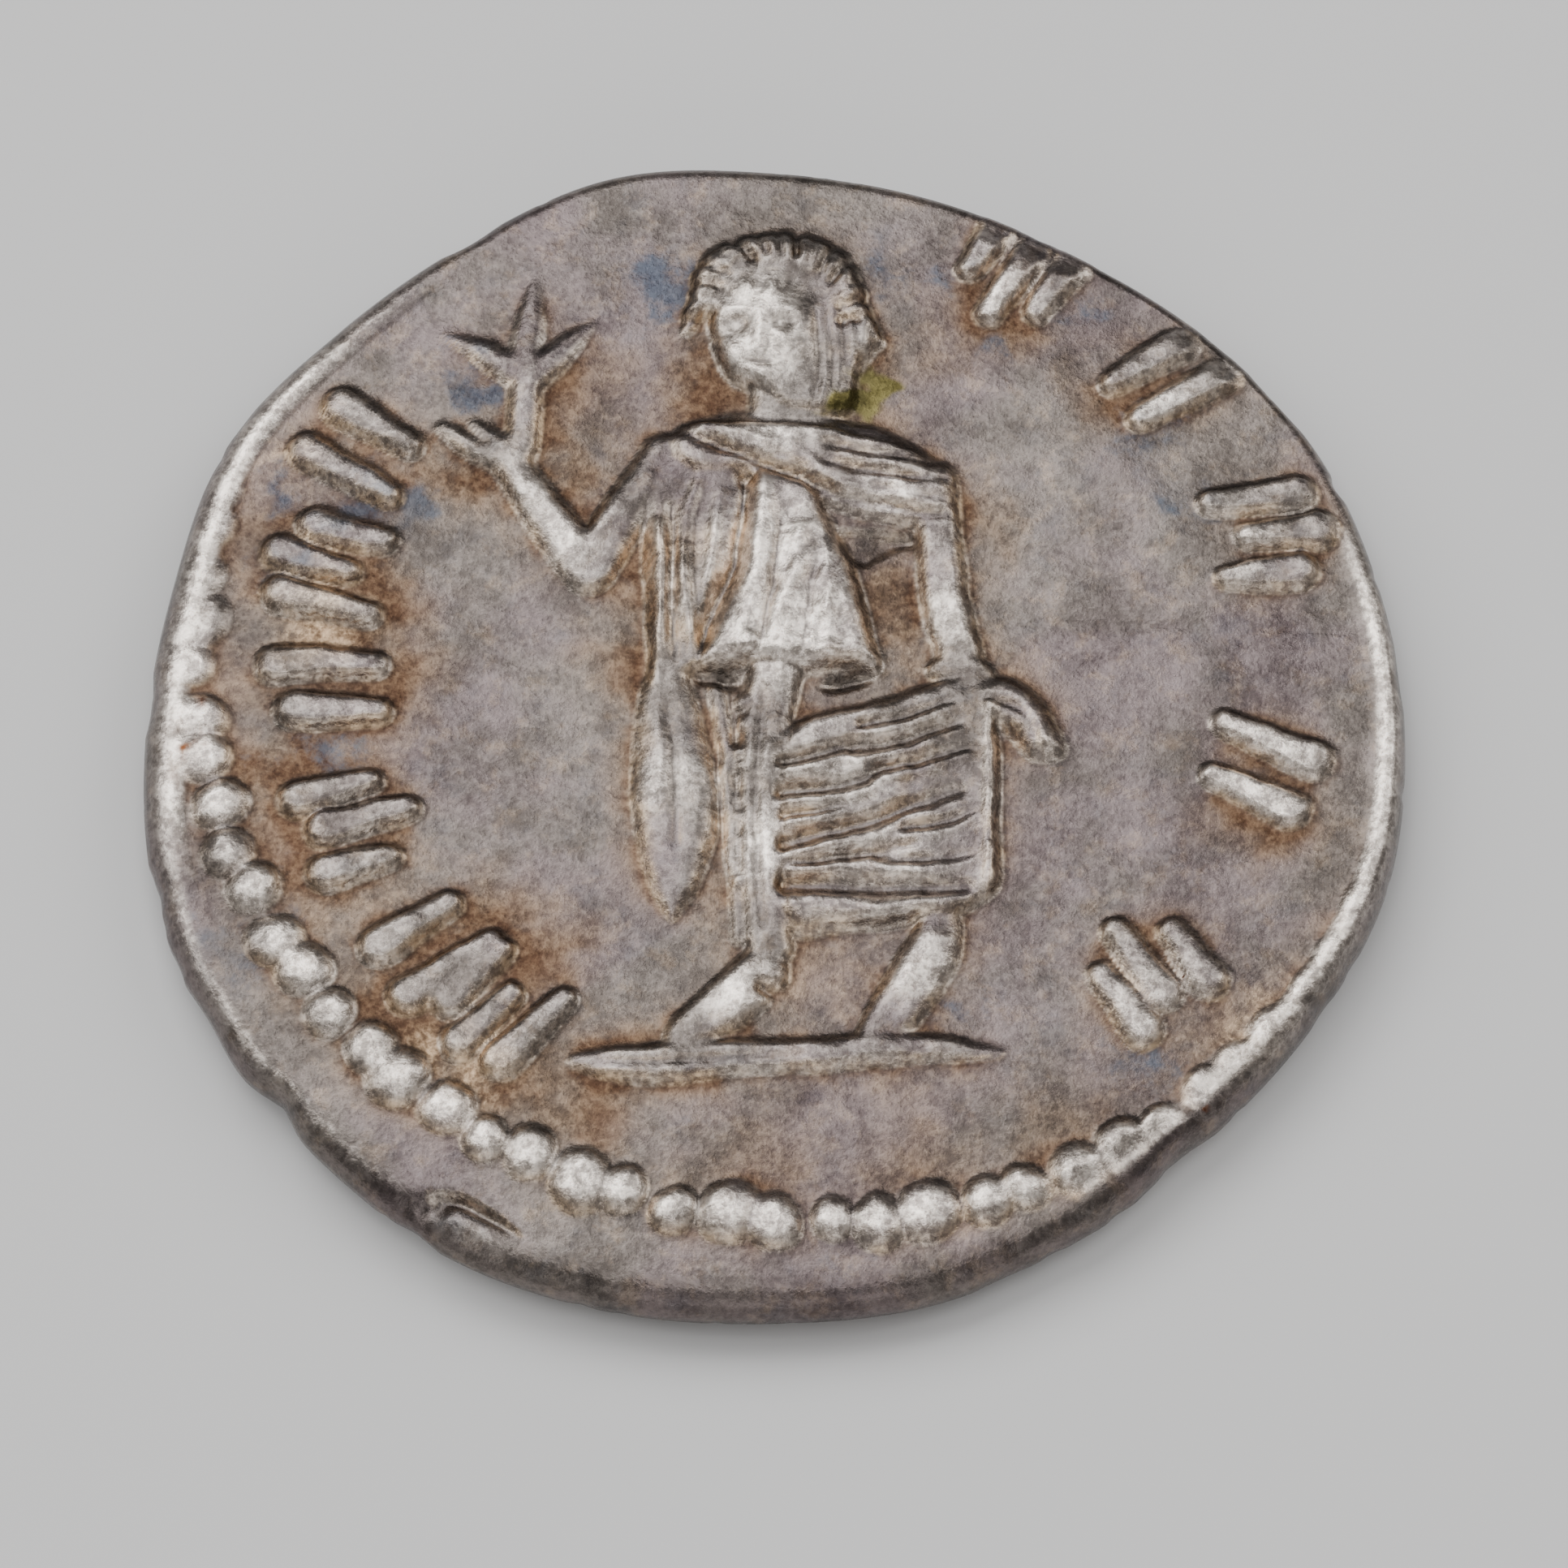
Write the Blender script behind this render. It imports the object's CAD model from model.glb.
import bpy
import numpy as np
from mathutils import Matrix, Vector


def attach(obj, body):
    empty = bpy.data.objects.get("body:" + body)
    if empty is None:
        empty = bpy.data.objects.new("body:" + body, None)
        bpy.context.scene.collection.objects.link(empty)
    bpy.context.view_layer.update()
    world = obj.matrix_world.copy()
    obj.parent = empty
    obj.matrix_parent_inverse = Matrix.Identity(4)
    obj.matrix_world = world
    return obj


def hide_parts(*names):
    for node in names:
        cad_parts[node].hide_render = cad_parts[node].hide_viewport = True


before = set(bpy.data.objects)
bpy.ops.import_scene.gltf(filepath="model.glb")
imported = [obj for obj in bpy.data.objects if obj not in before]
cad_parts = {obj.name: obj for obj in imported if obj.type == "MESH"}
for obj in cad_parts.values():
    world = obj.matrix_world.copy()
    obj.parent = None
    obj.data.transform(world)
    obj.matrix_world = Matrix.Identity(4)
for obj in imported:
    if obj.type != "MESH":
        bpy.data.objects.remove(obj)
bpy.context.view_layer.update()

mm = 0.001
dieShift = (0.037, -0.173)  # die middle from the flan's middle, mm


# camera: one long lens, looking down at the coin's own tilt in the picture
cameraSet = {"elevation": 67.0, "distance": 240.0, "target": (0.137, -0.673, 0.70), "pixelsPerMm": 83.8,
             "frame": 1932, "sensor": 36.0}

# lens for the wanted picture scale: sensor * pixels per mm * distance / pixels in the frame
def makeCamera(s):
    tilt = np.radians(s["elevation"])
    aim = Vector(s["target"]) * mm
    away = Vector((0, -np.cos(tilt), np.sin(tilt)))
    data = bpy.data.cameras.new("photo_camera")
    data.sensor_width = s["sensor"]
    data.lens = s["sensor"] * s["pixelsPerMm"] * s["distance"] / s["frame"]
    cam = bpy.data.objects.new("photo_camera", data)
    cam.location = aim + away * s["distance"] * mm
    cam.rotation_euler = (-away).to_track_quat("-Z", "Y").to_euler()
    bpy.context.collection.objects.link(cam)
    bpy.context.scene.camera = cam

makeCamera(cameraSet)
print("camera set")


# curve through rows of values: on each stretch a cubic through its two rows that aims by their neighbours
def smoothRows(rows, steps=8, closed=False):
    p = np.array(rows, float)
    q = np.vstack([p[-1:], p, p[:2]]) if closed else np.vstack([2 * p[0] - p[1], p, 2 * p[-1] - p[-2]])
    t = np.linspace(0, 1, steps, endpoint=False)[None, :, None]
    a, b, c, d = (q[k:len(q) - 3 + k, None, :] for k in range(4))
    run = 0.5 * (2 * b + (c - a) * t + (2 * a - 5 * b + 4 * c - d) * t**2 + (3 * b - a - 3 * c + d) * t**3)
    run = run.reshape(-1, p.shape[1])
    return run if closed else np.vstack([run, p[-1:]])

# rows and columns of the raster that a box of points touches
def window(x, y, points, reach):
    cols = np.searchsorted(x, [points[:, 0].min() - reach, points[:, 0].max() + reach])
    rows = np.searchsorted(y, [points[:, 1].min() - reach, points[:, 1].max() + reach])
    return slice(*rows), slice(*cols)

# distance from every point to the stretch a-b, and how far along it the foot lies (0 to 1)
def footOn(px, py, a, b):
    d = b - a
    t = np.clip(((px - a[0]) * d[0] + (py - a[1]) * d[1]) / max(d[0]**2 + d[1]**2, 1e-9), 0, 1)
    return np.hypot(px - a[0] - d[0] * t, py - a[1] - d[1] * t), t

# mm; a fold takes in full where the form under it is as high as grip
raster = {"half": 9.75, "figureStep": .03, "portraitStep": .05, "grip": .12}

class Relief:
    # heights in mm on a square raster, forms laid on it one after another
    def __init__(self, half, step):
        self.x = np.arange(-half, half + step, step)
        self.y = self.x
        self.step = step
        self.z = np.zeros((len(self.y), len(self.x)))

    def lay(self, win, height, how):
        part = self.z[win]
        if how == "over":
            np.maximum(part, height, out=part)
        elif how == "on":
            part += height
        else:
            part += height * np.clip(part / raster["grip"], 0, 1)  # only where there already is a form

    # ridge: height * (1 - (distance / half width) ** power), rows are x, y, half width, height
    def ridge(self, rows, how="over", power=2.4, steps=8):
        p = smoothRows(rows, steps)
        win = window(self.x, self.y, p, p[:, 2].max())
        px, py = np.meshgrid(self.x[win[1]], self.y[win[0]])
        best = np.zeros_like(px)
        for a, b in zip(p[:-1], p[1:]):
            far, t = footOn(px, py, a, b)
            q = np.minimum(far / np.maximum(a[2] + (b[2] - a[2]) * t, 1e-3), 1)
            rise = (a[3] + (b[3] - a[3]) * t) * (1 - q**power)
            best = np.where(np.abs(rise) > np.abs(best), rise, best)
        self.lay(win, best, how)

    # mound: height * (1 - q ** power), q the distance from the middle counted in turned half axes
    def mound(self, cx, cy, rx, ry, turn, rise, how="over", power=2.0):
        reach = max(rx, ry)
        win = window(self.x, self.y, np.array([[cx, cy]]), reach)
        px, py = np.meshgrid(self.x[win[1]] - cx, self.y[win[0]] - cy)
        c, s = np.cos(np.radians(turn)), np.sin(np.radians(turn))
        q = np.hypot((px * c + py * s) / rx, (py * c - px * s) / ry)
        self.lay(win, rise * (1 - np.minimum(q, 1)**power), how)

    # plate: height * (1 - (1 - depth / shoulder) ** 2), depth the distance in from a smooth closed outline
    def plate(self, outline, rise, shoulder, how="over"):
        p = smoothRows(outline, 4, closed=True)
        win = window(self.x, self.y, p, 0)
        px, py = np.meshgrid(self.x[win[1]], self.y[win[0]])
        depth = np.full_like(px, 9.0)
        inside = np.zeros(px.shape, bool)
        for a, b in zip(p, np.roll(p, -1, 0)):
            depth = np.minimum(depth, footOn(px, py, a, b)[0])
            run = b[1] - a[1] if abs(b[1] - a[1]) > 1e-9 else 1e-9
            inside ^= ((a[1] > py) != (b[1] > py)) & (px < a[0] + (b[0] - a[0]) * (py - a[1]) / run)
        self.lay(win, np.where(inside, rise * (1 - (1 - np.minimum(depth / shoulder, 1))**2), 0), how)

    # soft copy: each height becomes the bell-weighted mean of its surroundings, width in mm
    def soft(self, width, z=None):
        z = self.z if z is None else z
        f = np.fft.fftfreq(len(self.x), self.step)
        bell = np.exp(-2 * (np.pi * width)**2 * (f[:, None]**2 + f[None, :]**2))
        return np.real(np.fft.ifft2(np.fft.fft2(z) * bell))

    # values of a raster at any points, straight lines between neighbours
    def at(self, z, x, y):
        u = np.clip((x - self.x[0]) / self.step, 0, len(self.x) - 1.001)
        v = np.clip((y - self.y[0]) / self.step, 0, len(self.y) - 1.001)
        i, j = u.astype(int), v.astype(int)
        u, v = u - i, v - j
        low = z[j, i] * (1 - u) + z[j, i + 1] * u
        high = z[j + 1, i] * (1 - u) + z[j + 1, i + 1] * u
        return low * (1 - v) + high * v


# random raster smoothed to lumps of the given width, about -1 to 1
def lumps(relief, seed, width):
    raw = relief.soft(width, np.random.default_rng(seed).standard_normal(relief.z.shape))
    return raw / (2 * raw.std())

# slow wave that makes repeats uneven: size * sin(beat * count)
def wave(pair, k):
    return pair[0] * np.sin(pair[1] * k)


# figure side: everything struck on it, mm from the die's middle
beadRing = {
    "middle": (0.55, 1.50), "radius": 9.15, "count": 77, "bead": 0.41, "rise": 0.19, "span": (160, 345),
    # waves that make the beads uneven: size, beat
    "stray": (.10, 2.4), "swell": (.13, 1.7), "ripple": (.07, 4.3), "outward": (.06, 3.1), "twist": (40, 5),
    "longer": 1.08, "fade": (36, 40), "pressed": .45, "power": 3.2,
}
legend = {
    "rise": 0.18, "inner": 0.20, "outer": 0.31, "power": 6, "places": [
        (232, 7.45), (221, 7.45), (203.5, 7.3), (186, 7.2), (171, 7.25), (155, 7.4),
        (63.5, 6.65), (39.5, 6.75), (15, 6.9), (343, 6.85), (313, 7.1)],  # angle, radius
    "strokes": [  # start and end of each, along the legend then outward
        [(-.62, -.70, -.48, .60), (.02, -.30, .16, .74), (.58, -.74, .70, .30)],
        [(-.52, -.72, -.34, .70), (.34, -.66, .52, .56)],
        [(-.66, -.20, -.54, .72), (-.06, -.74, .10, .46), (.56, -.40, .70, .66)],
        [(-.44, -.68, -.28, .50), (.30, -.74, .50, .72)],
    ],
}
figure = {
    "press": .62, "limbPower": 4,  # press: how far wear has brought the limbs down
    "wear": {"wander": .03, "wanderWidth": .30, "wanderSeeds": (11, 12),
             "fray": .016, "frayWidth": .07, "frayStep": 20,
             "rubs": [(13, .20, .16), (14, .08, .08)],  # seed, width, share
             "soft": .026, "knee": .41, "squeeze": .5},
    "limbs": {  # x, y, half width, height
        "upperArm": [[-1.70, 4.50, .34, .30], [-2.20, 3.60, .38, .32], [-2.72, 2.70, .40, .34]],
        "forearm": [[-2.80, 2.62, .38, .34], [-3.35, 3.45, .35, .32], [-3.90, 4.30, .26, .28]],
        "palm": [[-3.90, 4.35, .30, .28], [-4.10, 4.55, .28, .26]],
        "finger": [[-4.15, 4.42, .20, .26], [-4.60, 4.65, .16, .22], [-4.98, 4.98, .08, .12]],
        "thumb": [[-3.95, 4.60, .18, .22], [-4.30, 4.80, .13, .18], [-4.52, 5.00, .07, .10]],
        "stem": [[-3.78, 4.60, .24, .24], [-3.76, 5.30, .24, .24], [-3.74, 5.85, .26, .24]],
        "leftPetal": [[-3.80, 5.80, .26, .22], [-4.30, 6.14, .20, .20], [-4.95, 6.45, .04, .06]],
        "midPetal": [[-3.74, 5.90, .24, .22], [-3.68, 6.55, .24, .16], [-3.62, 7.25, .10, .05]],
        "rightPetal": [[-3.65, 5.70, .22, .22], [-3.22, 6.12, .24, .18], [-2.72, 6.62, .06, .06]],
        "loweredArm": [[2.30, 4.05, .34, .30], [2.38, 3.10, .34, .32], [2.46, 2.20, .36, .33],
            [2.70, 1.25, .34, .33]],
        "loweredHand": [[2.40, 1.02, .20, .26], [2.75, 1.05, .26, .33], [3.02, .92, .20, .28]],
        "leg": [[-.02, 1.15, .42, .34], [-.16, .10, .40, .36], [-.22, -1.40, .36, .36],
            [-.20, -2.70, .36, .36], [-.10, -3.40, .34, .30]],
        "hangingCloth": [[-1.62, 1.00, .28, .26], [-1.60, .20, .50, .31], [-1.50, -1.00, .66, .34],
            [-1.50, -2.00, .50, .30], [-1.52, -2.90, .08, .14]],
        "strip": [[-.95, .95, .14, .16], [-.74, -.20, .12, .18], [-.66, -1.60, .11, .18],
            [-.56, -3.25, .10, .16]],
        "leftFoot": [[-.20, -3.78, .40, .34], [-.75, -4.28, .43, .32], [-1.40, -4.80, .30, .24]],
        "rightFoot": [[2.42, -2.80, .26, .28], [2.26, -3.45, .44, .33], [1.84, -4.20, .44, .32],
            [1.40, -4.76, .28, .22]],
        "groundLine": [[-2.95, -5.16, .12, .12], [-2.00, -5.20, .30, .26], [0, -5.08, .27, .26],
            [2.00, -4.98, .24, .26], [3.25, -5.06, .08, .10]],
        "neck": [[.10, 6.05, .55, .27], [.16, 5.55, .58, .27], [.20, 5.05, .66, .26]],
    },
    "plates": {  # height, rounded shoulder, outline
        "mantle": (.28, .30, [[-1.72, 4.75], [-1.0, 5.08], [.2, 5.18], [1.25, 4.98], [2.1, 4.55],
            [2.62, 4.0], [2.5, 3.4], [1.5, 3.42], [.6, 3.72], [-.2, 4.05], [-1.4, 4.1]]),
        "tunic": (.34, .30, [[-.40, 4.25], [.45, 4.10], [.82, 3.40], [1.16, 2.60], [1.40, 1.70],
            [1.52, 1.00], [.9, 1.04], [.2, .94], [-.4, 1.06], [-1.24, 1.00], [-1.0, 1.80], [-.62, 2.70]]),
        "underArm": (.20, .25, [[-1.70, 4.60], [-.5, 4.2], [-.6, 2.8], [-1.05, 1.7], [-1.15, 1.0],
            [-1.80, .9], [-1.95, 2.0], [-1.98, 3.2]]),
        "flap": (.26, .34, [[2.57, .77], [3.32, .93], [3.85, .55], [4.19, -.09], [4.16, -.40], [3.70, -.42],
            [3.32, .03], [2.85, .20]]),
        "skirt": (.21, .22, [[.05, .05], [1.2, .45], [2.4, .88], [3.1, .98], [3.22, .2], [3.24, -1.2],
            [3.22, -2.5], [2.2, -2.95], [1.1, -3.12], [.10, -3.14], [0, -1.5]]),
    },
    "folds": [  # ridges, and grooves where the height is negative
        [[-1.65, 4.88, .08, -.08], [-.30, 4.32, .10, -.14], [.60, 3.95, .10, -.14], [1.30, 3.70, .10, -.14],
            [2.40, 3.52, .07, -.08]],
        [[-1.20, 4.95, .10, .04], [-.20, 4.62, .10, .05], [.60, 4.25, .10, .05]],
        [[.70, 4.62, .06, -.06], [1.30, 4.46, .08, -.11], [2.20, 4.30, .07, -.10]],
        [[.60, 4.33, .06, -.07], [1.60, 4.12, .08, -.11], [2.45, 4.02, .06, -.07]],
        [[1.40, 3.92, .06, -.06], [2.45, 3.72, .06, -.06]],
        [[-1.45, 4.98, .07, -.08], [-.40, 5.00, .09, -.12], [.60, 4.94, .09, -.12], [1.15, 4.80, .08, -.10],
            [1.90, 4.55, .06, -.06]],
        [[-.12, 3.85, .14, .05], [-.30, 2.60, .17, .06], [-.52, 1.35, .18, .06]],
        [[.38, 3.30, .12, .04], [.25, 2.40, .14, .05], [-.05, 1.60, .14, .04]],
        [[.70, 2.90, .10, .03], [.75, 2.00, .14, .05], [.75, 1.30, .14, .05]],
        [[.05, 3.30, .07, -.06], [-.05, 2.40, .07, -.07], [-.25, 1.30, .07, -.07]],
        [[.55, 2.50, .06, -.04], [.45, 1.80, .07, -.06], [.35, 1.20, .07, -.06]],
        [[-1.20, 4.00, .10, .07], [-1.38, 2.70, .12, .09], [-1.22, 1.20, .10, .08]],
        [[-1.72, 3.30, .10, .07], [-1.70, 2.00, .10, .09], [-1.78, .80, .10, .06]],
        [[-.85, 3.80, .10, .05], [-.95, 2.80, .10, .06], [-1.10, 2.0, .08, .05]],
        [[-1.52, 3.60, .07, -.08], [-1.55, 2.20, .08, -.10], [-1.50, 1.10, .06, -.06]],
        [[-1.62, .60, .10, -.04], [-1.52, -.60, .10, -.05], [-1.50, -1.80, .08, -.04]],
        [[-.20, .70, .08, -.06], [-.30, -.80, .08, -.07], [-.30, -2.40, .08, -.06],
            [-.20, -3.10, .06, -.04]],
        [[2.55, 3.00, .07, .04], [2.62, 2.10, .08, .05], [2.84, 1.40, .07, .04]],
        [[3.05, .50, .06, -.06], [3.58, .30, .07, -.08], [3.84, -.36, .06, -.07]],
        [[-2.6, -5.20, .06, -.06], [-1.2, -5.18, .07, -.08], [.4, -5.08, .06, -.05]],
        [[3.12, .40, .11, .10], [3.14, -1.00, .12, .12], [3.10, -2.45, .10, .08]],
        [[-.20, -4.05, .14, -.16], [-.02, -4.10, .14, -.16]],
        [[.20, -2.90, .16, .06], [1.40, -2.92, .16, .07], [2.70, -2.68, .14, .05]],
    ],
    "skirtFolds": [  # left end x, y, right end x, y, half width, depth
        (.15, -.45, 1.30, -.08, .16, .15), (.15, -.92, 1.40, -.72, .18, .17),
        (.15, -1.29, .95, -1.14, .12, .12), (.15, -1.76, 2.65, -.95, .20, .18),
        (.20, -2.08, 2.00, -1.80, .13, .13), (.15, -2.42, 2.75, -2.46, .22, .18),
        (1.25, .10, 2.60, .48, .12, .11), (1.10, -.30, 2.70, .12, .14, .13),
        (1.45, -.62, 2.80, -.24, .13, .12), (1.85, -1.55, 2.85, -1.30, .12, .10),
        (1.50, -2.04, 2.85, -1.94, .13, .10)],
    # valley and ridge of a skirt fold, pairs are shares of width and depth
    "skirtRun": {"drop": 1.15, "ridge": .55, "sag": .05, "middle": (.9, .8), "end": (.6, .4)},
    # middle, half axes, turn, depth
    "hollows": [(-.85, .88, .40, .13, -8, -.17), (1.02, .86, .42, .13, 8, -.17)],
    "armpit": (-.12, .10, [[.72, 3.30], [2.15, 3.16], [1.75, 2.95], [1.18, 2.70]]),
    "scallops": {"count": 9, "x": -.52, "top": .50, "step": .37, "size": .14, "rise": .17, "tall": 1.3,
                 "sway": (.05, 2.1), "stray": (.25, 3.7), "swell": (.4, 1.9)},
}
headSet = {
    "face": (-.16, 6.50, .86, 1.04, 6, .10),  # middle, half width, half height, tilt, height
    "facePower": 2.6, "tipPower": 2.8,
    "base": (.27, .26, [[-1.05, 6.55], [-1.30, 7.0], [-1.18, 7.62], [-.60, 8.02], [.25, 8.10], [.98, 7.80],
        [1.36, 7.1], [1.50, 6.35], [1.24, 5.75], [1.16, 5.15], [.2, 5.10], [-.30, 5.48], [-.78, 5.80]]),
    "roll": [[-1.10, 6.90, .22, .04], [-.95, 7.42, .30, .08], [-.42, 7.74, .34, .10], [.30, 7.78, .34, .10],
        [.88, 7.46, .34, .09], [1.12, 6.92, .26, .05]],
    "nicks": {"count": 15, "fan": (-8, 178), "middle": (.0, 6.72), "inner": .94, "outer": 1.46,
              "half": .06, "cut": .12, "uneven": (.5, 2.3), "twist": .12},
    "strands": {"count": 4, "left": .56, "right": 1.18, "top": 6.7, "foot": 5.2, "half": .06, "cut": .05,
                "sway": (0, .06, -.05)},
    "tips": [[[-1.10, 7.05, .16, .30], [-1.24, 6.80, .17, .26], [-1.36, 6.50, .08, .12]],
        [[1.15, 6.85, .15, .32], [1.34, 6.60, .15, .28], [1.52, 6.28, .07, .12]]],
    "features": {  # levels and gaps as shares of the face, sizes in mm
        "shift": .12, "eye": .04, "nose": .34, "mouth": .56, "eyeApart": .42, "cheekApart": .40,
        "bridge": .16, "noseTop": (.10, .05), "noseTip": (.16, .12), "lidDrop": .01,
        "socket": (.24, .15, 0, -.10), "lid": (.14, .07, 0, .07), "cheek": (.26, .22, 0, .03),
        "brow": ((.13, .20, .08, .05), (.64, .17, .07, .04)),
        "lips": [(0, .20, .06, -.07), (.10, .15, .07, .04), (-.10, .13, .07, .04)]},
}

# head: a plate with a mound of face on it, a roll of hair round the top, cuts for hair, then plain features
def strikeHead(relief, s):
    x, y, wide, tall, tilt, high = s["face"]
    relief.plate(s["base"][2], *s["base"][:2])
    relief.mound(x, y, wide, tall, tilt, high, "on", s["facePower"])
    relief.ridge(s["roll"], "on", 2)
    for rows in s["tips"]:
        relief.ridge(rows, power=s["tipPower"])
    # hair: nicks across the roll fan out from the crown, strands run down the nape
    n, d, f = s["nicks"], s["strands"], s["features"]
    for k, a in enumerate(np.radians(np.linspace(*n["fan"], n["count"]))):
        cut = n["cut"] * (1 + wave(n["uneven"], k))
        ends = ((n["inner"], a), (n["outer"], a + n["twist"]))
        relief.ridge([[n["middle"][0] + r * np.cos(w), n["middle"][1] + r * np.sin(w), n["half"], -cut]
                      for r, w in ends], "form", 2, 3)
    for px in np.linspace(d["left"], d["right"], d["count"]):
        run = zip(d["sway"], (d["top"], (d["top"] + d["foot"]) / 2, d["foot"]))
        relief.ridge([[px + sway, py, d["half"], -d["cut"]] for sway, py in run], "form", 2)
    # plain face: eyes half way down, nose a third below them, mouth a third of what is left
    m, eye = x - f["shift"] * wide, y + f["eye"] * tall
    nose, mouth = y - f["nose"] * tall, y - f["mouth"] * tall
    relief.ridge([[m, eye + f["bridge"], *f["noseTop"]], [m, nose, *f["noseTip"]]], "on", 2)
    inner, outer = f["brow"]
    for side in (-1, 1):
        e = m + side * f["eyeApart"] * wide
        relief.mound(e, eye, *f["socket"], "on")
        relief.mound(e, eye - f["lidDrop"], *f["lid"], "on")
        relief.ridge([[m + side * inner[0], eye + inner[1], *inner[2:]],
                      [m + side * outer[0] * wide, eye + outer[1], *outer[2:]]], "on", 2)
        relief.mound(m + side * f["cheekApart"] * wide, nose, *f["cheek"], "on")
    for up, reach, half, rise in f["lips"]:
        relief.ridge([[m - reach, mouth + up, half, rise], [m + reach, mouth + up, half, rise]], "on", 2)

# bead k sits at k parts of a turn; slow waves in k move it off its place, swell it and press it flat
def strikeBeads(relief, s):
    start, end = s["span"]
    for k in range(s["count"]):
        deg = 360 * (k + wave(s["stray"], k)) / s["count"]
        if start < deg < end:
            worn = np.clip((deg - start) / s["fade"][0], 0, 1) * np.clip((end - deg) / s["fade"][1], 0, 1)
            size = s["bead"] * (1 + wave(s["swell"], k) + wave(s["ripple"], k))
            out, a = s["radius"] + wave(s["outward"], k), np.radians(deg)
            x, y = s["middle"][0] + out * np.cos(a), s["middle"][1] + out * np.sin(a)
            rise = s["rise"] * (s["pressed"] + (1 - s["pressed"]) * worn)
            relief.mound(x, y, size * s["longer"], size, deg + wave(s["twist"], k), rise, power=s["power"])

# strokes of the legend: straight wedges, their half width growing evenly outward
def strikeLegend(relief, s, middle, places):
    for k, (deg, radius) in enumerate(places):
        c, n = np.cos(np.radians(deg)), np.sin(np.radians(deg))
        for a0, o0, a1, o1 in s["strokes"][k % len(s["strokes"])]:
            ends = ((a0, radius + o0, s["inner"]), (a1, radius + o1, s["outer"]))
            rows = [[middle[0] + out * c + along * n, middle[1] + out * n - along * c, half, s["rise"]]
                    for along, out, half in ends]
            relief.ridge(rows, power=s["power"], steps=2)

# figure side: the highest of limbs, plates, head, beads and strokes, folds added where a form is, then wear:
# each point takes the height from a little aside, times uneven rubbing, squeezed above the knee and softened
def strikeFigure(s):
    relief = Relief(raster["half"], raster["figureStep"])
    f, c, w = s["skirtRun"], s["scallops"], s["wear"]
    for rows in s["limbs"].values():
        relief.ridge([[x, y, half, high * s["press"]] for x, y, half, high in rows], power=s["limbPower"])
    for rise, shoulder, outline in s["plates"].values():
        relief.plate(outline, rise, shoulder)
    for rows in s["folds"]:
        relief.ridge(rows, "form", 2)
    for x0, y0, x1, y1, half, deep in s["skirtFolds"]:
        middle = ((x0 + x1) / 2, (y0 + y1) / 2 - f["sag"])
        run = ((x0, y0, 1, 1), (*middle, *f["middle"]), (x1, y1, *f["end"]))
        # valley, then the ridge below it
        for drop, lift in ((0, -deep), (f["drop"] * half, f["ridge"] * deep)):
            relief.ridge([[x, y - drop, half * thin, lift * low] for x, y, thin, low in run], "form", 2)
    for hollow in s["hollows"]:
        relief.mound(*hollow, "on")
    relief.plate(s["armpit"][2], *s["armpit"][:2], "on")
    for k in range(c["count"]):
        x, y = c["x"] + wave(c["sway"], k), c["top"] - c["step"] * (k + wave(c["stray"], k))
        relief.mound(x, y, c["size"], c["size"] * (c["tall"] + wave(c["swell"], k)), 0, c["rise"])
    strikeHead(relief, headSet)
    strikeBeads(relief, beadRing)
    strikeLegend(relief, legend, beadRing["middle"], legend["places"])
    x, y = np.meshgrid(relief.x, relief.y)
    offX, offY = (w["wander"] * lumps(relief, seed, w["wanderWidth"])
                  + w["fray"] * lumps(relief, seed + w["frayStep"], w["frayWidth"])
                  for seed in w["wanderSeeds"])
    relief.z = relief.at(relief.z, x + offX, y + offY)
    relief.z *= 1 + sum(share * lumps(relief, seed, width) for seed, width, share in w["rubs"])
    relief.z = np.minimum(relief.z, w["knee"] + w["squeeze"] * np.maximum(relief.z - w["knee"], 0))
    relief.z = relief.soft(w["soft"])
    return relief

figureRelief = strikeFigure(figure)
print("figure side struck, highest relief", round(float(figureRelief.z.max()), 3), "mm")


# portrait side: a plain draped bust in profile, worn flat where it bears on the table
portrait = {
    "plates": {
        "hair": (.36, .45, [[1.9, 3.7], [.6, 5.1], [-1.8, 4.6], [-3.0, 2.8], [-3.3, .9], [-2.4, .1],
            [-1.5, .9], [-.4, 1.7], [.8, 2.6]]),
        "face": (.24, .5, [[1.9, 3.8], [2.5, 2.9], [3.1, 1.9], [2.6, 1.45], [2.8, 1.0], [2.45, .1],
            [1.3, -.4], [-.6, .4], [-.8, 2.2], [.6, 3.6]]),
        "drape": (.36, .45, [[-1.9, -1.8], [0, -2.6], [1.9, -1.8], [3.7, -3.0], [4.2, -4.7], [.2, -5.5],
            [-4.3, -4.6], [-3.6, -2.7]]),
    },
    "neck": [[.2, .4, 1.25, .20], [0, -2.2, 1.45, .20]],
    "waves": {"count": 6, "middle": (.4, 1.6), "first": 1.35, "step": .42, "half": .15, "cut": .14,
              "fan": (60, 100, 140, 180)},
    "drapeFolds": {"count": 6, "left": -3.2, "right": 2.6, "top": -2.5, "step": .45, "sag": .55,
        "half": .14, "cut": .14},
    "mounds": [(1.75, 2.2, .34, .2, 10, .08), (-.1, 1.7, .28, .42, 0, .09)],  # eye and ear
    "ring": {"radius": 8.1, "half": .70, "rise": .40, "beads": 74, "gap": .10, "bell": 1.2, "sharp": 6},
    "marks": {"count": 14, "start": -50, "end": 230, "radius": 6.6},
}

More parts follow.
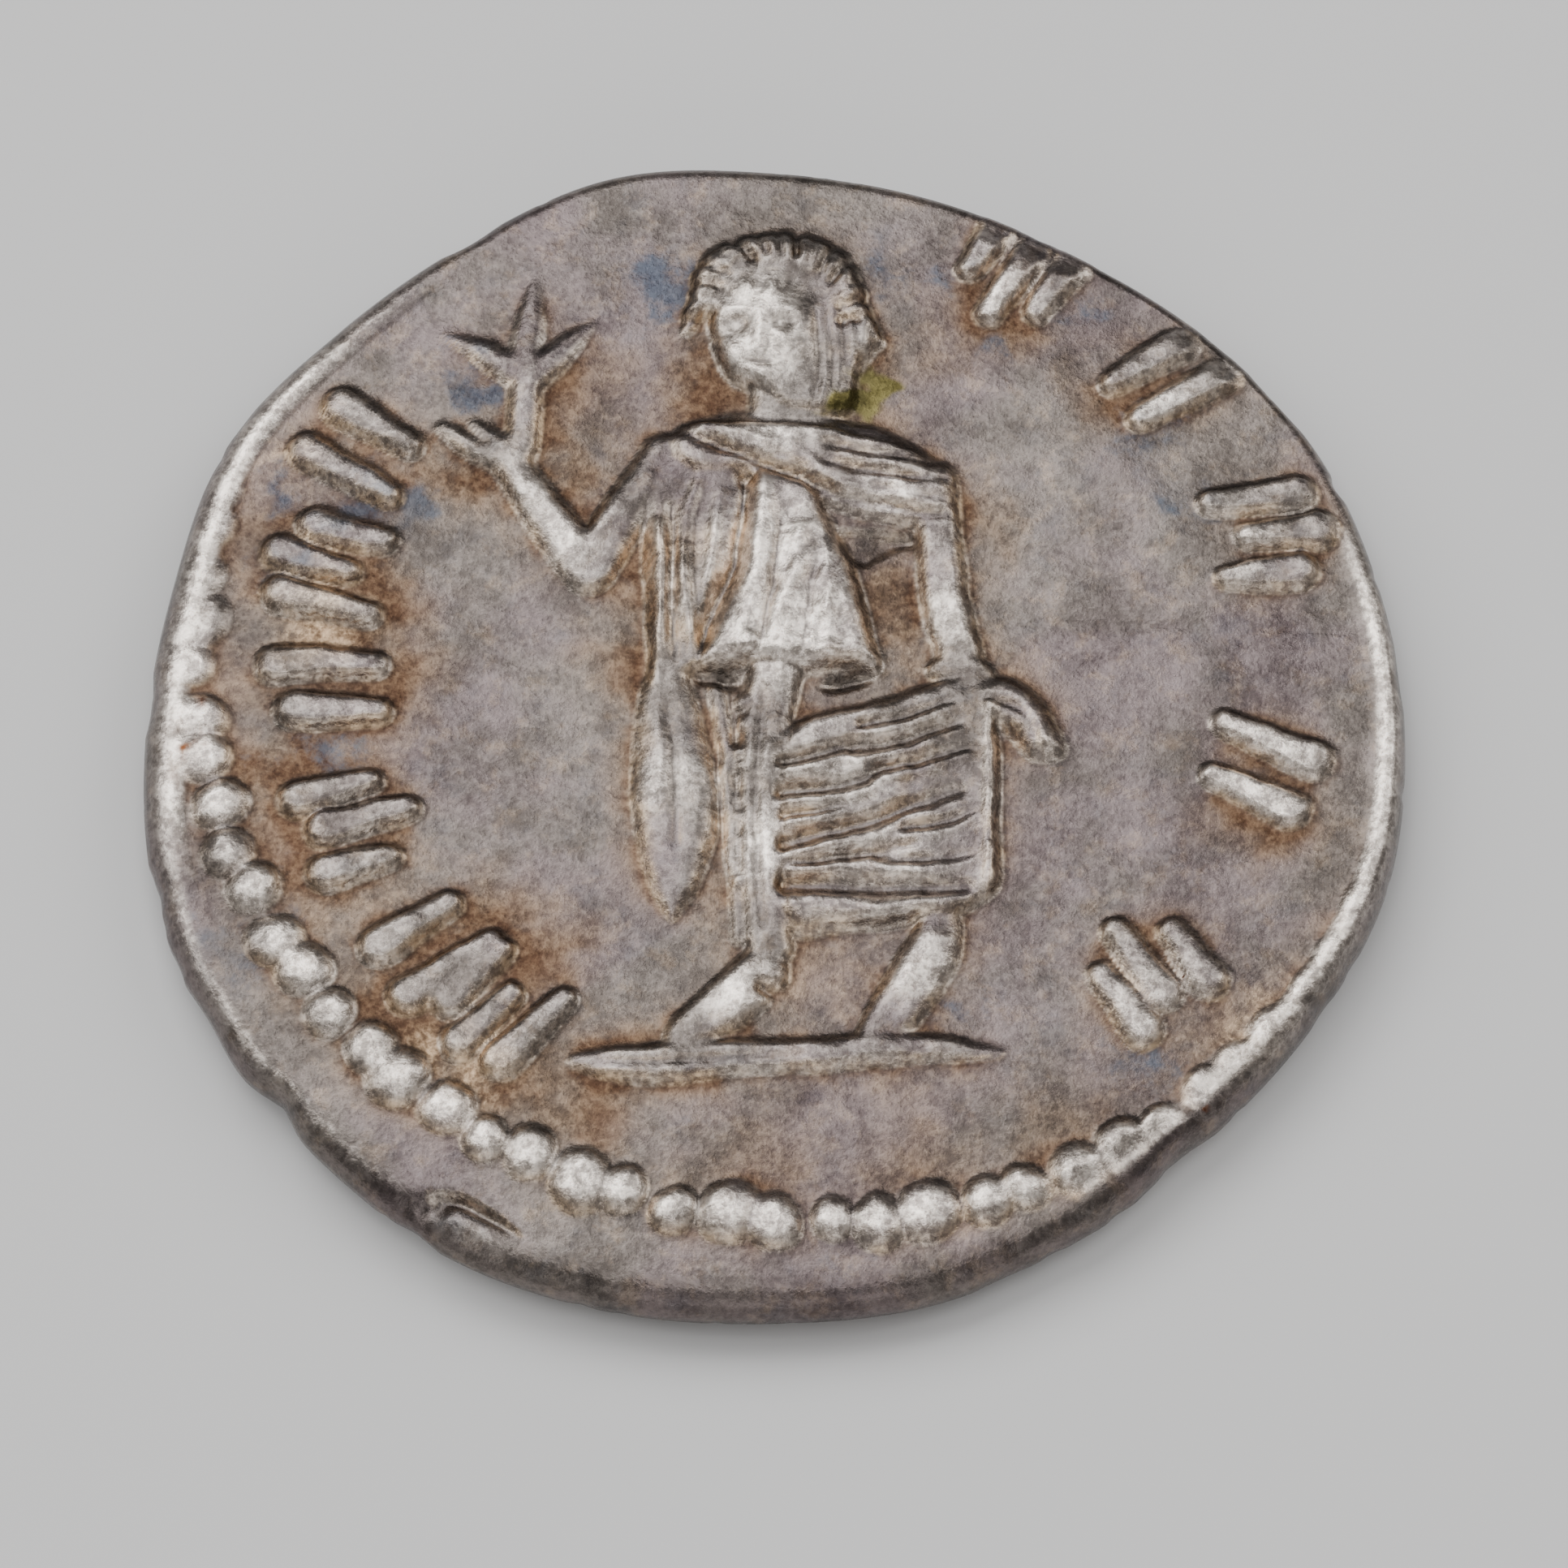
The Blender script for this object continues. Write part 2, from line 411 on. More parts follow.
# portrait side: the highest of neck, plates and strokes, waves and folds cut in, and a border ridge that is
# a bell across the ring, nicked once per bead
def strikePortrait(s):
    relief = Relief(raster["half"], raster["portraitStep"])
    w, d, m, ring = s["waves"], s["drapeFolds"], s["marks"], s["ring"]
    relief.ridge(s["neck"])
    for rise, shoulder, outline in s["plates"].values():
        relief.plate(outline, rise, shoulder)
    for k in range(w["count"]):
        out = w["first"] + w["step"] * k
        rows = [[out * np.cos(a), out * np.sin(a), w["half"], -w["cut"]] for a in np.radians(w["fan"])]
        relief.ridge(np.array(rows) + [*w["middle"], 0, 0], "form", 2)
    for k in range(d["count"]):
        level = d["top"] - d["step"] * k
        run = ((d["left"], level), (0, level - d["sag"]), (d["right"], level))
        relief.ridge([[x, y, d["half"], -d["cut"]] for x, y in run], "form", 2)
    for mound in s["mounds"]:
        relief.mound(*mound, "on")
    places = [(a, m["radius"]) for a in np.linspace(m["start"], m["end"], m["count"])]
    strikeLegend(relief, legend, (0, 0), places)
    x, y = np.meshgrid(relief.x, relief.y)
    across = np.minimum(np.abs(np.hypot(x, y) - ring["radius"]) / ring["half"], 1)
    nicks = np.abs(np.sin(np.arctan2(y, x) * ring["beads"] / 2))**ring["sharp"]
    relief.z = np.maximum(relief.z, (1 - across**2)**ring["bell"] * (ring["rise"] - ring["gap"] * nicks))
    return relief

portraitRelief = strikePortrait(portrait)
print("portrait side struck")


# the blank itself: outline radii every 15 degrees from +X, levels and edge in mm
flan = {
    "radii": [9.29, 9.26, 9.26, 9.10, 8.96, 9.02, 9.15, 9.38, 9.22, 9.20, 9.37, 9.20,
              9.25, 9.41, 9.43, 9.36, 9.41, 9.29, 9.16, 9.17, 9.04, 8.94, 9.08, 9.30],
    "middle": (-0.0126, -0.0193), "portraitField": 0.30, "figureField": 1.35, "edge": 0.76,
    "band": (0.42, 0.13, 0.17), "fall": (6.2, 9.2, 0.10), "fade": 0.40, "rimShare": .25,
    "lip": {"rise": 0.10, "half": 0.22, "sides": [(118, 200), (-50, 28)], "soft": 22,
            "rough": .55, "roughSeed": 6, "roughWidth": .25},
    "nick": [(7, .45, .4, .11), (8, .14, .5, .06)],  # seed, width, least, depth
    "nickRing": 9, "notch": (219, 2.6, 0.16),  # notch: angle, width, depth
    "shelf": (7.9, 8.5, .35, .7),  # radius, then sine below the middle, over which the lower shelf sets in
    "streak": {"rise": .010, "seed": 4, "width": .09, "along": 3, "across": .25},
    "flaws": [  # x, y, half width, depth
        [[-6.6, -7.30, .08, -.05], [-6.1, -7.38, .11, -.12], [-5.4, -7.36, .13, -.17],
            [-4.7, -7.30, .13, -.18], [-4.2, -7.55, .11, -.14], [-3.75, -7.86, .07, -.06]],
        [[-5.1, -7.75, .20, -.08], [-4.6, -7.98, .30, -.12], [-4.0, -8.22, .24, -.08]],
        [[3.68, 1.79, .05, -.010], [6.07, 1.74, .05, -.014]],
        [[7.10, 1.72, .05, -.014], [8.61, 1.68, .05, -.010]]],
    "lumps": [(1, .9, .016), (2, .35, .010), (3, .12, .006)],  # seed, width, height
    "portraitLumps": (5, .5, .012),
    "cells": 264, "rings": 9, "warp": 0.22,
}

# smooth step from 0 at low to 1 at high
def ease(low, high, value):
    t = np.clip((value - low) / (high - low), 0, 1)
    return t * t * (3 - 2 * t)

# outline radius at an angle: the same cubic as smoothRows, run round the closed list
def flanRadius(s, turn):
    r = np.array(s["radii"])
    place = (turn / (2 * np.pi) * len(r)) % len(r)
    k = np.floor(place).astype(int)
    t = place - k
    a, b, c, d = (r[(k + n) % len(r)] for n in (-1, 0, 1, 2))
    return 0.5 * (2 * b + (c - a) * t + (2 * a - 5 * b + 4 * c - d) * t**2 + (3 * b - a - 3 * c + d) * t**3)

# width of the rounded edge: widest at the foot of the picture, narrowest at its right
def bandWidth(s, turn):
    return s["band"][0] - s["band"][1] * np.sin(turn) - s["band"][2] * np.maximum(np.cos(turn), 0)

# square of cells pulled into a disc: x = u sqrt(1 - v v / 2), y = v sqrt(1 - u u / 2), times shoulder radius
def discGrid(s, cells):
    t = np.linspace(-1, 1, cells + 1)
    t = t - s["warp"] * np.sin(np.pi * t) / np.pi
    u, v = np.meshgrid(t, t)
    dx, dy = u * np.sqrt(1 - v * v / 2), v * np.sqrt(1 - u * u / 2)
    turn, share = np.arctan2(dy, dx).ravel(), np.hypot(dx, dy).ravel()
    shoulder = flanRadius(s, turn) - bandWidth(s, turn)
    return turn, shoulder * share, shoulder * (1 - share)

# vertex numbers round the border of such a grid, counter-clockwise
def borderLoop(cells):
    n, k = cells + 1, np.arange(cells)
    return np.concatenate([k, k * n + cells, cells * n + cells - k, (cells - k) * n])

# four corners of every cell, row by row, counted from the first vertex of the grid
def gridFaces(cells, start):
    n = cells + 1
    a = start + (np.arange(cells)[:, None] * n + np.arange(cells)).ravel()
    return np.stack([a, a + 1, a + n + 1, a + n], 1)

# figure side height: field falling outward, plus lip, plus lumps and streaks that fade at the rim, plus what
# is struck, which keeps rimShare of itself there; the lip's share comes back too
def figureLevel(s, relief, turn, r, inward, x, y):
    def lumpsAt(seed, width, px=x, py=y):
        return relief.at(lumps(relief, seed, width), px, py)

    lip, streak, fade = s["lip"], s["streak"], ease(0, s["fade"], inward)
    field = s["figureField"] - s["fall"][2] * ease(*s["fall"][:2], r)
    deg, share = np.degrees(turn), 0
    for start, end in lip["sides"]:
        along = (deg - start) % 360
        share = np.maximum(share, ease(0, lip["soft"], along) * ease(0, lip["soft"], end - start - along))
    worn = lip["rough"] * np.clip(.5 + .5 * lumpsAt(lip["roughSeed"], lip["roughWidth"]), 0, 1)
    share = share * (1 - np.minimum(inward / lip["half"], 1)**2) * (1 - worn)
    shelf = ease(*s["shelf"][:2], r) * ease(*s["shelf"][2:], -np.sin(turn))
    uneven = sum(high * lumpsAt(seed, width) for seed, width, high in s["lumps"])
    lines = lumpsAt(streak["seed"], streak["width"], streak["along"] * turn, streak["across"] * r)
    uneven = uneven + streak["rise"] * shelf * lines
    struck = relief.at(relief.z, x, y)
    struck = np.where(struck > 0, struck * (s["rimShare"] + (1 - s["rimShare"]) * fade), struck)
    return field + lip["rise"] * share + uneven * fade + struck, share

# portrait side height: field with lumps, less what is struck on it, never under the table
def portraitLevel(s, relief, inward, x, y):
    seed, width, high = s["portraitLumps"]
    uneven = high * relief.at(lumps(relief, seed, width), x, y)
    struck = relief.at(relief.z, x, y) * ease(0, s["fade"], inward)
    return np.maximum(s["portraitField"] + uneven - struck, 0)

# whole surface: upper grid, rings on half an ellipse from the upper shoulder to the lower one, lower grid
def coinSurface(s):
    cx, cy = s["middle"]
    flaws = Relief(raster["half"], raster["figureStep"])
    for rows in s["flaws"]:
        flaws.ridge(rows, "on", 2)
    figureRelief.z += flaws.z
    n, m, rings = s["cells"], s["cells"] // 2, s["rings"]
    turn, r, inward = discGrid(s, n)
    x, y = r * np.cos(turn) + cx, r * np.sin(turn) + cy
    high, lip = figureLevel(s, figureRelief, turn, r, inward, x - dieShift[0], y - dieShift[1])
    top = np.stack([x, y, high], 1)
    turn2, r2, inward2 = discGrid(s, m)
    x2, y2 = r2 * np.cos(turn2) + cx, r2 * np.sin(turn2) + cy
    low = np.stack([x2, y2, portraitLevel(s, portraitRelief, inward2, -x2, y2)], 1)
    loop, loop2 = borderLoop(n), borderLoop(m)
    a, foot = turn[loop], low[loop2, 2]
    lowEdge = np.stack([foot, (foot + np.roll(foot, -1)) / 2], 1).ravel()
    swing = np.pi * np.arange(1, rings)[:, None] / rings
    nx, ny = s["nickRing"] * np.cos(a), s["nickRing"] * np.sin(a)
    nick = sum(deep * np.clip(figureRelief.at(lumps(figureRelief, seed, width), nx, ny) - least, 0, 1)
               for seed, width, least, deep in s["nick"])
    notch = s["notch"][2] * np.exp(-((np.degrees(a) % 360 - s["notch"][0]) / s["notch"][1])**2)
    out = r[loop] + (bandWidth(s, a) - nick - notch) * np.sin(swing)
    reach = np.where(swing < np.pi / 2, top[loop, 2] - s["edge"], s["edge"] - lowEdge)
    level = s["edge"] + np.cos(swing) * reach
    sx, sy = out * np.cos(a) + cx, out * np.sin(a) + cy
    level = level + flaws.at(flaws.z, sx - dieShift[0], sy - dieShift[1]) * np.maximum(np.cos(swing), 0)
    side = np.stack([sx, sy, level], 2).reshape(-1, 3)
    points = np.vstack([top, side, low])
    # faces: upper grid, bands round the edge, a 2 to 1 band, lower grid turned over
    first, last = len(top), len(top) + len(side)
    faces = gridFaces(n, 0).tolist()
    bands = np.vstack([loop, first + np.arange(len(side)).reshape(rings - 1, -1)])
    for upper, lower in zip(bands[:-1], bands[1:]):
        faces += np.stack([upper, lower, np.roll(lower, -1), np.roll(upper, -1)], 1).tolist()
    f0, f1, f2 = bands[-1][0::2], bands[-1][1::2], np.roll(bands[-1], -2)[0::2]
    c0, c1 = last + loop2, last + np.roll(loop2, -1)
    for corners in ((f0, c0, f1), (f1, c0, c1), (f1, c1, f2)):
        faces += np.stack(corners, 1).tolist()
    faces += gridFaces(m, last)[:, ::-1].tolist()
    return points, faces, len(top), len(side), lip

points, faces, topCount, sideCount, lipShare = coinSurface(flan)
print("coin surface", len(points), "points", len(faces), "faces")


# toning and wear, laid where they gather: x, y, spread, strength, mm from the die's middle
toning = {
    "brown": [(-1.3, 5.6, .6, 1.0), (-5.6, .8, .8, .9), (-5.6, 2.0, .7, .9), (-4.0, -2.7, .8, .8),
        (-3.2, -3.4, .7, .8), (-5.5, -4.3, .9, .9), (-3.0, -5.8, 1.0, .8), (-.5, -6.8, 1.2, .6),
        (2.0, -6.8, 1.2, .6), (4.0, -6.2, .9, .6), (3.2, 6.5, .8, .7), (4.7, 5.3, .8, .7),
        (-2.7, 5.5, .9, .5), (-3.0, 4.5, .6, .6), (2.5, 6.2, .8, .5), (7.1, -1.4, .8, .7),
        (1.6, 2.2, .6, 1.0), (-6.6, -1.5, .9, .8), (-2.4, 1.2, .8, .5), (-4.6, 4.0, .6, 1.0),
        (-6.4, 2.4, .6, .9), (-7.0, 1.0, .6, .8), (-6.9, -.6, .6, .7), (1.3, 5.9, .6, .6),
        (3.3, 3.4, .5, .5), (-1.5, 2.5, .5, .7), (-6.9, 3.0, .8, .6), (5.6, -3.4, .6, .5)],
    "tan": [(-6.7, 1.75, .55, .9), (-5.0, -5.0, .4, .8), (-4.4, -5.5, .4, .8), (6.9, -4.6, .5, .6),
        (-1.35, 3.0, .4, .5), (-7.3, 4.6, .4, .5)],
    "blue": [(-1.60, 7.30, .60, 1.0), (-1.6, 6.8, .35, .8), (1.5, 7.5, .5, .9), (2.4, 7.4, .5, .7),
        (-4.45, 5.45, .45, 1.2), (-4.3, 6.2, .4, 1.0), (-7.1, 3.85, .5, 1.0), (4.6, 6.9, .5, .8),
        (5.6, 4.9, .6, .8), (6.3, 3.6, .5, .9), (2.75, -4.4, .4, .8), (-6.2, 3.7, .6, 1.0),
        (-5.4, 3.6, .5, 1.0), (-7.9, -3.2, 1.0, .7), (-4.9, -7.7, .6, .8), (1.0, -8.1, 1.4, .3),
        (-6.8, -.2, .6, .6), (-1.0, -6.3, .9, .4), (5.4, -5.2, .6, .6), (-7.0, 2.6, .5, .8),
        (3.0, 6.1, .4, .7)],
    "shade": [(-.55, 7.78, .34, .8), (.15, 7.92, .36, .9), (.80, 7.70, .36, .8), (-.6, 5.06, .22, .6),
        (.2, 5.10, .28, .7), (1.0, 4.92, .28, .7), (1.7, 4.62, .28, .6), (1.35, 3.06, .36, .9),
        (1.85, 3.10, .22, .7), (-.85, .88, .22, .9), (1.02, .86, .24, .9), (-2.05, 4.05, .3, .3),
        (-3.1, 2.2, .3, .3), (-7.7, 3.0, .5, .6), (-7.8, 1.6, .5, .7), (-7.7, .4, .5, .6),
        (-8.3, -2.0, .6, .7), (-8.1, -3.4, .6, .8), (-7.2, -4.6, .5, .5), (-5.9, -6.2, .6, .3),
        (-5.5, 3.4, .4, .7), (-6.0, -7.36, .18, .8), (-5.4, -7.34, .18, .9), (-4.75, -7.28, .2, .9),
        (-4.25, -7.52, .18, .8)],
    "olive": [(1.32, 5.42, .42, 1.3), (-8.75, -.4, .2, .5)],
    "rust": [(-8.75, -.4, .34, .55), (-8.6, .5, .3, .4), (5.9, -3.85, .1, .9), (6.25, -5.9, .1, .9)],
    "pits": [(3.6, 4.9, .30, .8), (4.1, 4.5, .40, .9), (4.6, 4.3, .35, .8)],
    "bright": [(-.1, 2.9, .8, .8), (.1, 1.6, .8, 1.0), (.9, -.7, .9, .36), (1.7, -1.9, 1.0, .34),
        (-.25, 6.75, .55, .9), (-.2, 6.1, .6, .9), (-3.1, 3.1, .5, .5), (2.5, 1.9, .4, .4),
        (-1.5, -.8, .5, .4), (-.15, -1.8, .6, .6), (2.1, -3.8, .5, .5), (-.6, -4.2, .5, .5),
        (6.9, -4.7, .6, .6), (-4.5, -8.05, .5, .9), (3.3, 7.0, .5, .5), (5.6, 5.4, .4, .6),
        (6.7, 3.0, .5, .5), (7.1, -.7, .9, .7), (5.5, -4.3, .8, .4), (-3.6, 3.9, .4, .4), (0, 4.75, .5, .5),
        (1.6, 3.75, .5, .4)],
}

# strength of a list of spots at points: the largest bell among them
def spotsAt(spots, x, y):
    bell = np.zeros_like(x)
    for sx, sy, spread, strength in spots:
        bell = np.maximum(bell, strength * np.exp(-((x - sx)**2 + (y - sy)**2) / spread**2))
    return bell

wearSet = {  # heights in mm, slopes as rise over run
    "form": .06, "slopeSoft": .03, "steep": .9, "away": .75, "toward": .1, "flat": 1e-6, "far": .7,
    "crest": (.32, .08), "hollow": (.10, .05),  # width of the surroundings, height that counts in full
    "halo": (.17, 2.0), "haze": (.50, 2.4),  # spread, gain
}

# what height alone tells of wear: crests stand above their surroundings, hollows below, halos lie beside
# forms, edges are steep and rubbed bright except where they face away to the top
def wearMaps(relief, s):
    form = np.clip(relief.z / s["form"], 0, 1)
    up, across = np.gradient(relief.soft(s["slopeSoft"]), relief.step)
    steep = np.hypot(up, across)
    facing = up / np.maximum(steep, s["flat"])
    lost = s["away"] * np.clip(-facing, 0, 1) + s["toward"] * np.clip(facing, 0, 1)
    maps = {
        "edge": np.clip(steep / s["steep"], 0, 1) * (1 - lost),
        "far": np.clip(-up / s["far"], 0, 1),
        "form": form,
        "crest": np.clip((relief.z - relief.soft(s["crest"][0])) / s["crest"][1], 0, 1),
        "hollow": np.clip((relief.soft(s["hollow"][0]) - relief.z) / s["hollow"][1], 0, 1),
    }
    for name in ("halo", "haze"):
        spread, gain = s[name]
        maps[name] = np.clip(relief.soft(spread, form) * gain, 0, 1) * (1 - form)
    return maps

maskSet = {
    # one value each for the plain edge
    "side": {"form": .5, "crest": 0, "edge": 0, "far": 0, "hollow": .25, "halo": .10, "haze": .25},
    "calm": (-5.4, -6.6, .6),  # y over which halos weaken, share they lose
    "fall": (1.3, .40),  # shine down the edge: at its start, lost per ring
    "rim": {"least": .25, "left": .7, "reach": (-3, -6)},  # shine of the rim, and of its left from x to x
    "drift": {"reach": .30, "seeds": (31, 32), "width": .22, "fine": .5, "fineStep": 10, "fineWidth": .09},
    "ends": (5, 8),  # x over which the lip comes to shine in full
    "beads": (.50, .35),  # shine on the bead ring, its half width
}

# masks at every vertex: wear read from the rasters, stains as bells round their spots, shine of lip and beads
def coinMasks(s):
    masks = {}
    top, side = slice(topCount), slice(topCount, topCount + sideCount)
    lows = points[topCount + sideCount:]
    x, y = points[top, 0] - dieShift[0], points[top, 1] - dieShift[1]
    sx, sy = points[side, 0], points[side, 1]
    upper, under = wearMaps(figureRelief, wearSet), wearMaps(portraitRelief, wearSet)
    for name, value in s["side"].items():
        seen = figureRelief.at(upper[name], x, y)
        hidden = portraitRelief.at(under[name], -lows[:, 0], lows[:, 1])
        masks[name] = np.concatenate([seen, np.full(sideCount, value), hidden])
    for name in ("haze", "halo"):
        masks[name][top] *= 1 - s["calm"][2] * ease(*s["calm"][:2], y)
    loop, rim, d = borderLoop(flan["cells"]), s["rim"], s["drift"]
    fall = np.clip(s["fall"][0] - np.arange(1, flan["rings"]) * s["fall"][1], 0, 1)[:, None]
    shine = np.maximum(lipShare[loop], rim["left"] * ease(*rim["reach"], points[loop, 0]))
    masks["crest"][side] = (fall * (rim["least"] + (1 - rim["least"]) * shine)).ravel()
    aside = (lumps(figureRelief, seed, d["width"])
             + d["fine"] * lumps(figureRelief, seed + d["fineStep"], d["fineWidth"]) for seed in d["seeds"])
    driftX, driftY = (d["reach"] * figureRelief.at(z, x, y) for z in aside)
    for name, spots in toning.items():
        still = name in ("shade", "bright")  # these follow the forms, stains drift off round
        stain = spotsAt(spots, x, y) if still else spotsAt(spots, x + driftX, y + driftY)
        onEdge = spotsAt(spots, sx - dieShift[0], sy - dieShift[1]) * np.repeat(fall, len(loop), 1).ravel()
        masks[name] = np.concatenate([stain, onEdge, np.zeros(len(lows))])
    bright, glow = masks["bright"], np.sqrt(lipShare)
    ring = np.hypot(x - beadRing["middle"][0], y - beadRing["middle"][1]) - beadRing["radius"]
    bright[side] += masks["crest"][side] * ease(*s["ends"], np.abs(sx))
    bright[top] = np.maximum(bright[top], glow * ease(*s["ends"], np.abs(x)))
    bright[top] = np.maximum(bright[top], s["beads"][0] * np.exp(-(ring / s["beads"][1])**2))
    for name in ("crest", "form"):
        masks[name][top] = np.maximum(masks[name][top], glow)
    return masks

masks = coinMasks(maskSet)
print("wear and toning masks", sorted(masks))


# shader sockets that add, multiply and mix like numbers
class Sock:
    def __init__(self, tree, out=None):
        self.tree, self.out = tree, out

    def node(self, kind, settings, inputs, out=0):
        n = self.tree.nodes.new(kind)
        for key, value in settings.items():
            setattr(n, key, value)
        for key, value in inputs.items():
            if isinstance(value, Sock):
                self.tree.links.new(value.out, n.inputs[key])
            else:
                n.inputs[key].default_value = value
        return Sock(self.tree, n.outputs[out])

    def math(self, how, a, b):
        return self.node("ShaderNodeMath", {"operation": how}, {0: a, 1: b})

    def __add__(self, other): return self.math("ADD", self, other)
    def __radd__(self, other): return self.math("ADD", other, self)
    def __sub__(self, other): return self.math("SUBTRACT", self, other)
    def __rsub__(self, other): return self.math("SUBTRACT", other, self)
    def __mul__(self, other): return self.math("MULTIPLY", self, other)
    def __rmul__(self, other): return self.math("MULTIPLY", other, self)

    def step(self, low, high):
        return self.node("ShaderNodeMapRange", {"interpolation_type": "SMOOTHSTEP"},
                         {"Value": self, "From Min": low, "From Max": high})

    def mix(self, a, b):
        return self.node("ShaderNodeMix", {"data_type": "RGBA"}, {0: self, 6: a, 7: b}, 2)


tones = {  # linear colours, darker and lighter of each
    "field": ((.082, .07, .063, 1), (.214, .186, .168, 1)),
    "violet": ((.072, .056, .057, 1), (.184, .151, .149, 1)),
    "bright": ((.62, .555, .495, 1), (1.0, .91, .82, 1)),
    "gold": ((.054, .034, .021, 1), (.164, .107, .068, 1)),
    "brown": ((.026, .012, .007, 1), (.09, .044, .023, 1)),
    "amber": ((.3, .19, .1, 1), (.8, .58, .37, 1)),
    "blue": ((.011, .018, .033, 1), (.04, .063, .095, 1)),
    "olive": ((.05, .042, .014, 1), (.16, .138, .054, 1)),
    "rust": ((.05, .018, .008, 1), (.17, .065, .03, 1)),
    "dark": ((.035, .03, .028, 1), (.11, .097, .09, 1)),
}
silver = {
    "noise": {  # lumps per mm, detail, roughness
        "cloud": (.45, 3.0, .55), "stain": (.9, 6.0, .6), "grain": (3.4, 9.0, .70), "grit": (10.0, 3.0, .6),
        "fine": (24.0, 3.0, .6), "warm": (2.3, 6.0, .66), "cool": (1.6, 6.0, .66)},
    "blend": {  # noises added up
        "speckle": {"stain": .38, "grain": .30, "grit": .21, "fine": .11},
        "glint": {"grain": .6, "grit": .4}, "blue": {"stain": 1.8, "grain": 1.8},
        "olive": {"stain": 1.2, "grain": .5}, "rust": {"stain": 1.0, "grain": .6},
        "rough": {"grain": .18, "fine": .06}, "bump": {"grain": .8, "grit": .6, "fine": .3}},
    "range": {  # value where a mask sets in, value where it is full
        "speckle": (.39, .61), "glint": (.41, .62), "spread": (.36, .62), "sunk": (.10, .80),
        "gold": (.05, .80), "brown": (.10, .68), "blue": (.10, .85), "worn": (.05, .75),
        "cloud": (.40, .62), "warm": (.50, .68), "cool": (.52, .68), "far": (.1, .9), "edge": (.15, .9),
        "olive": (.15, .55), "rust": (.15, .50), "pits": (.50, .62)},
    "share": {  # least, and what the mask beside it adds
        "gold": (.30, .40), "brown": (.25, .50), "spots": (.25, .60), "spotSpread": (.4, 1.0),
        "worn": (.25, .75), "shine": (.36, .40), "sunk": (.16, .44), "tan": (.2, .6), "edge": (.30, .60),
        "polish": (.25, .75), "shade": (.5, .6)},
    "amount": {"warm": .12, "cool": .20, "gold": .75, "brown": .92, "glow": .10, "blue": .74, "far": .26},
    "gain": {"spots": .75, "crest": .27, "bright": .55},
    "loss": {"spotsOnForm": .7, "wornInHollow": .80, "blue": 2.05, "olive": .95, "rust": .95, "metal": .10},
    "rough": .15, "brownRough": .12, "bumpStrength": .75, "bumpHeight": .000022,
}

